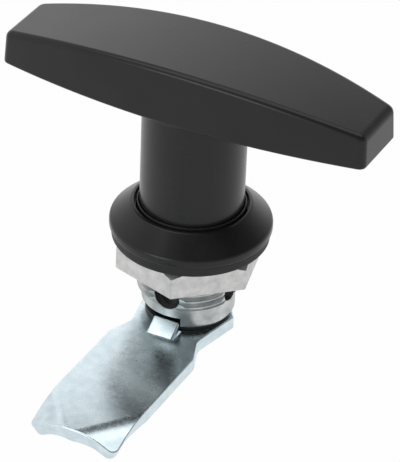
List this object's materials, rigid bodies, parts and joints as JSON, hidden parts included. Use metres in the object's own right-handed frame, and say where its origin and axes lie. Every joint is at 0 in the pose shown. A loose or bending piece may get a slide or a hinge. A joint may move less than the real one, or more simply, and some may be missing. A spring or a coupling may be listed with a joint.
{
  "type": "t-handle quarter-turn latch",
  "caption": "Keyless T-handle quarter-turn latch with a boat-shaped grip, conical collar, threaded barrel, clamping nut and a flat cam that swings behind the panel.",
  "frame": {"origin": "centre of the panel hole, on the outer face of the panel, which is the gasket's underside", "axes": "+Z out of the door along the stem towards the grip, +X along the grip bar, -Y along the cam at rest"},
  "size_m": [0.0828, 0.0675, 0.0722],
  "materials": {
    "black_coat": "satin black powder coat on die-cast zinc",
    "cast_zinc": "bare die-cast zinc",
    "nut_zinc": "matte die-cast zinc",
    "plated_steel": "blue-white zinc plate",
    "gasket_rubber": "moulded black rubber",
    "black_nylon": "moulded black nylon"
  },
  "bodies": {
    "housing": {"barrel": "cast_zinc", "flange_collar": "black_coat", "thrust_washer": "black_nylon", "panel_gasket": "gasket_rubber"},
    "handle": {"t_handle": "black_coat", "o_ring": "gasket_rubber", "friction_washer": "black_nylon", "cam": "plated_steel", "flat_washer": "plated_steel", "spring_washer": "plated_steel", "cam_screw": "plated_steel"},
    "nut": {"hex_nut": "nut_zinc"}
  },
  "joints": [
    {"name": "handle_turn", "type": "hinge", "parent": "housing", "child": "handle", "pos_m": [0, 0, 0], "axis": [0, 0, -1], "range_deg": [0, 90]},
    {"name": "nut_travel", "type": "slide", "parent": "housing", "child": "nut", "axis": [0, 0, -1], "range_m": [0, 0.006]}
  ]
}
